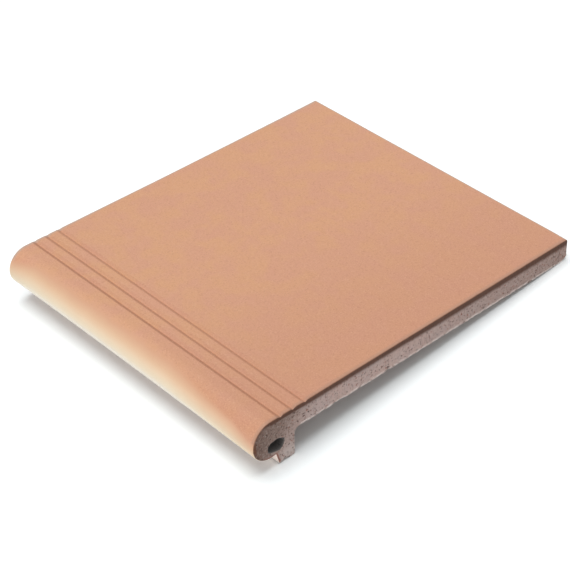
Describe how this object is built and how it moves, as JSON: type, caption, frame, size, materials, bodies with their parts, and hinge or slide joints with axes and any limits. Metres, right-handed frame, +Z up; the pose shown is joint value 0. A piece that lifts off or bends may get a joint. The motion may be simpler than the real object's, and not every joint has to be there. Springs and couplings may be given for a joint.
{
  "type": "stair nosing tile",
  "caption": "Fired clay stair nosing tile: flat tread with a rounded grooved nose, a hollow bore under it, a drip notch and a foot that hooks over the step edge.",
  "frame": {"origin": "middle of the tile's bounding box on the floor that it lies on", "axes": "+X along the edge of the step, +Y from the round nose towards the back edge, +Z up; the tile leans 4.76 degrees, its back edge on the floor"},
  "size_m": [0.294, 0.34, 0.0468],
  "materials": {
    "fired_clay": "unglazed satin terracotta face with a grey-brown body"
  },
  "bodies": {
    "root": {"stair_nosing_tile": "fired_clay"}
  },
  "joints": []
}
